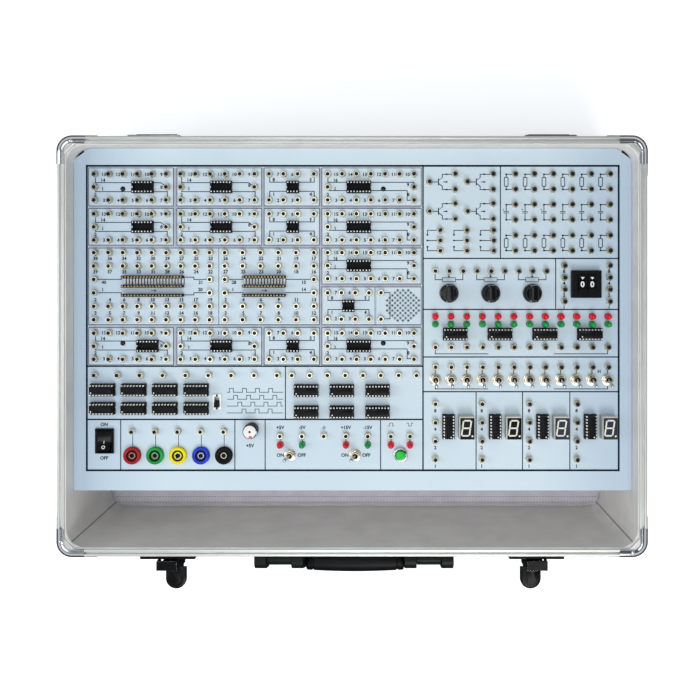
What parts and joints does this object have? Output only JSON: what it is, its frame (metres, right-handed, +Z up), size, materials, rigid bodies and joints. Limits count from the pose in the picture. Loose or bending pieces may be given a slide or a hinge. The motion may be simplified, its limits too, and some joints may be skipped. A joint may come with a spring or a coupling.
{
  "type": "digital logic trainer",
  "caption": "Open aluminium carrying case holding a patch panel for logic circuits, with indicators, switches, displays, a storage space, a handle and latches.",
  "frame": {"origin": "on the table, at the middle of the footprint of case, open latches and handle", "axes": "+X to the user's right, +Y from the front with the handle to the rear hinge side, +Z up"},
  "size_m": [0.4816, 0.3884, 0.111],
  "materials": {
    "aluminium_edging": "satin anodised extrusion",
    "bright_caps": "polished pressed steel",
    "wall_laminate": "ribbed silver laminate on board",
    "board_core": "plywood",
    "grey_lining": "pale flocked lining sheet",
    "floor_cloth": "pale stitched cloth",
    "black_rubber": "matt",
    "printed_panel": "pale blue-grey satin print",
    "black_screws": "black oxide",
    "nickel_sockets": "turned and plated",
    "black_plastic": "moulded",
    "red_lens": "clear diffused",
    "green_lens": "clear diffused",
    "display_plastic": "moulded with pale segments",
    "plated_metal": "plated",
    "button_green": "moulded",
    "terminal_plastic": "moulded in five colours",
    "circuit_green": "glass laminate with parts",
    "handle_metal": "dark plated die casting",
    "latch_black": "gloss black enamel"
  },
  "bodies": {
    "root": {"base_board": "board_core", "wall_boards": "wall_laminate", "edge_extrusions": "aluminium_edging", "rim_extrusion": "aluminium_edging", "corner_caps": "bright_caps", "case_feet": "black_rubber", "case_lining": "grey_lining", "floor_pad": "floor_cloth", "panel_supports": "board_core", "panel": "printed_panel", "panel_screws": "black_screws", "patch_sockets": "nickel_sockets", "chip_sockets": "black_plastic", "contact_strips": "black_plastic", "logic_chips": "black_plastic", "red_leds": "red_lens", "green_leds": "green_lens", "digit_displays": "display_plastic", "speaker": "black_plastic", "buzzer": "black_plastic", "toggle_bodies": "plated_metal", "rocker_frame": "black_plastic", "slide_switch_frame": "plated_metal", "button_bezel": "plated_metal", "potentiometers": "plated_metal", "wheel_frame": "black_plastic", "terminals": "terminal_plastic", "power_supply": "circuit_green", "mains_inlet": "black_plastic", "handle_brackets": "handle_metal", "latch_plates": "latch_black", "hinge_halves": "plated_metal"},
    "power_rocker": {"power_rocker": "black_plastic"},
    "slide_switch_knob": {"slide_switch_knob": "black_plastic"},
    "button_cap": {"button_cap": "button_green"},
    "tens_wheel": {"tens_wheel": "black_plastic"},
    "units_wheel": {"units_wheel": "black_plastic"},
    "handle": {"handle_frame": "handle_metal", "handle_grip": "black_plastic"},
    "latch_lever_left": {"latch_lever_left": "latch_black"},
    "latch_lever_right": {"latch_lever_right": "latch_black"},
    "latch_claw_left": {"latch_claw_left": "latch_black"},
    "latch_claw_right": {"latch_claw_right": "latch_black"},
    "switch_lever_01": {"switch_lever_01": "plated_metal"},
    "switch_lever_02": {"switch_lever_02": "plated_metal"},
    "switch_lever_03": {"switch_lever_03": "plated_metal"},
    "switch_lever_04": {"switch_lever_04": "plated_metal"},
    "switch_lever_05": {"switch_lever_05": "plated_metal"},
    "switch_lever_06": {"switch_lever_06": "plated_metal"},
    "switch_lever_07": {"switch_lever_07": "plated_metal"},
    "switch_lever_08": {"switch_lever_08": "plated_metal"},
    "switch_lever_09": {"switch_lever_09": "plated_metal"},
    "switch_lever_10": {"switch_lever_10": "plated_metal"},
    "switch_lever_11": {"switch_lever_11": "plated_metal"},
    "switch_lever_12": {"switch_lever_12": "plated_metal"},
    "supply_lever_1": {"supply_lever_1": "plated_metal"},
    "supply_lever_2": {"supply_lever_2": "plated_metal"},
    "knob_1": {"knob_1": "black_plastic"},
    "knob_2": {"knob_2": "black_plastic"},
    "knob_3": {"knob_3": "black_plastic"}
  },
  "joints": [
    {"name": "switch_01", "type": "hinge", "parent": "root", "child": "switch_lever_01", "pos_m": [0.0687, -0.00928, 0.0976], "axis": [-1, 0, 0], "range_deg": [0, 25]},
    {"name": "switch_02", "type": "hinge", "parent": "root", "child": "switch_lever_02", "pos_m": [0.08175, -0.00928, 0.0976], "axis": [-1, 0, 0], "range_deg": [0, 25]},
    {"name": "switch_03", "type": "hinge", "parent": "root", "child": "switch_lever_03", "pos_m": [0.09479, -0.00928, 0.0976], "axis": [-1, 0, 0], "range_deg": [0, 25]},
    {"name": "switch_04", "type": "hinge", "parent": "root", "child": "switch_lever_04", "pos_m": [0.10784, -0.00928, 0.0976], "axis": [-1, 0, 0], "range_deg": [0, 25]},
    {"name": "switch_05", "type": "hinge", "parent": "root", "child": "switch_lever_05", "pos_m": [0.12088, -0.00928, 0.0976], "axis": [-1, 0, 0], "range_deg": [0, 25]},
    {"name": "switch_06", "type": "hinge", "parent": "root", "child": "switch_lever_06", "pos_m": [0.13393, -0.00928, 0.0976], "axis": [-1, 0, 0], "range_deg": [0, 25]},
    {"name": "switch_07", "type": "hinge", "parent": "root", "child": "switch_lever_07", "pos_m": [0.14698, -0.00928, 0.0976], "axis": [-1, 0, 0], "range_deg": [0, 25]},
    {"name": "switch_08", "type": "hinge", "parent": "root", "child": "switch_lever_08", "pos_m": [0.16002, -0.00928, 0.0976], "axis": [-1, 0, 0], "range_deg": [0, 25]},
    {"name": "switch_09", "type": "hinge", "parent": "root", "child": "switch_lever_09", "pos_m": [0.17307, -0.00928, 0.0976], "axis": [-1, 0, 0], "range_deg": [0, 25]},
    {"name": "switch_10", "type": "hinge", "parent": "root", "child": "switch_lever_10", "pos_m": [0.18611, -0.00928, 0.0976], "axis": [-1, 0, 0], "range_deg": [0, 25]},
    {"name": "switch_11", "type": "hinge", "parent": "root", "child": "switch_lever_11", "pos_m": [0.19916, -0.00928, 0.0976], "axis": [-1, 0, 0], "range_deg": [0, 25]},
    {"name": "switch_12", "type": "hinge", "parent": "root", "child": "switch_lever_12", "pos_m": [0.21221, -0.00928, 0.0976], "axis": [-1, 0, 0], "range_deg": [0, 25]},
    {"name": "supply_switch_1", "type": "hinge", "parent": "root", "child": "supply_lever_1", "pos_m": [-0.0523, -0.07218, 0.0976], "axis": [0, 1, 0], "range_deg": [0, 25]},
    {"name": "supply_switch_2", "type": "hinge", "parent": "root", "child": "supply_lever_2", "pos_m": [0.0021, -0.07218, 0.0976], "axis": [0, 1, 0], "range_deg": [0, 25]},
    {"name": "power_rocker_tilt", "type": "hinge", "parent": "root", "child": "power_rocker", "pos_m": [-0.2064, -0.06028, 0.0955], "axis": [1, 0, 0], "range_deg": [0, 20]},
    {"name": "slide_switch_travel", "type": "slide", "parent": "root", "child": "slide_switch_knob", "axis": [0, 1, 0], "range_m": [0, 0.0036]},
    {"name": "button_press", "type": "slide", "parent": "root", "child": "button_cap", "axis": [0, 0, -1], "range_m": [0, 0.0016], "stiffness_N_per_m": 300, "springref_m": -0.0003},
    {"name": "knob_1_turn", "type": "hinge", "parent": "root", "child": "knob_1", "pos_m": [0.0801, 0.06252, 0.0954], "axis": [0, 0, 1], "range_deg": [-150, 150]},
    {"name": "knob_2_turn", "type": "hinge", "parent": "root", "child": "knob_2", "pos_m": [0.1148, 0.06252, 0.0954], "axis": [0, 0, 1], "range_deg": [-150, 150]},
    {"name": "knob_3_turn", "type": "hinge", "parent": "root", "child": "knob_3", "pos_m": [0.1494, 0.06252, 0.0954], "axis": [0, 0, 1], "range_deg": [-150, 150]},
    {"name": "tens_wheel_turn", "type": "hinge", "parent": "root", "child": "tens_wheel", "pos_m": [0.1896, 0.07022, 0.0921], "axis": [1, 0, 0], "continuous": true},
    {"name": "units_wheel_turn", "type": "hinge", "parent": "root", "child": "units_wheel", "pos_m": [0.1976, 0.07022, 0.0921], "axis": [1, 0, 0], "continuous": true},
    {"name": "handle_swing", "type": "hinge", "parent": "root", "child": "handle", "pos_m": [0, -0.17208, 0.062], "axis": [-1, 0, 0], "range_deg": [0, 120]},
    {"name": "latch_left_lever", "type": "hinge", "parent": "root", "child": "latch_lever_left", "pos_m": [-0.1505, -0.15888, 0.083], "axis": [1, 0, 0], "range_deg": [0, 90]},
    {"name": "latch_left_claw", "type": "hinge", "parent": "latch_lever_left", "child": "latch_claw_left", "pos_m": [-0.1505, -0.16313, 0.08724], "axis": [1, 0, 0], "range_deg": [-90, 0]},
    {"name": "latch_right_lever", "type": "hinge", "parent": "root", "child": "latch_lever_right", "pos_m": [0.1505, -0.15888, 0.083], "axis": [1, 0, 0], "range_deg": [0, 90]},
    {"name": "latch_right_claw", "type": "hinge", "parent": "latch_lever_right", "child": "latch_claw_right", "pos_m": [0.1505, -0.16313, 0.08724], "axis": [1, 0, 0], "range_deg": [-90, 0]}
  ],
  "couplings": [
    {"joint": "latch_left_claw", "follows": "latch_left_lever", "ratio": -1},
    {"joint": "latch_right_claw", "follows": "latch_right_lever", "ratio": -1}
  ]
}
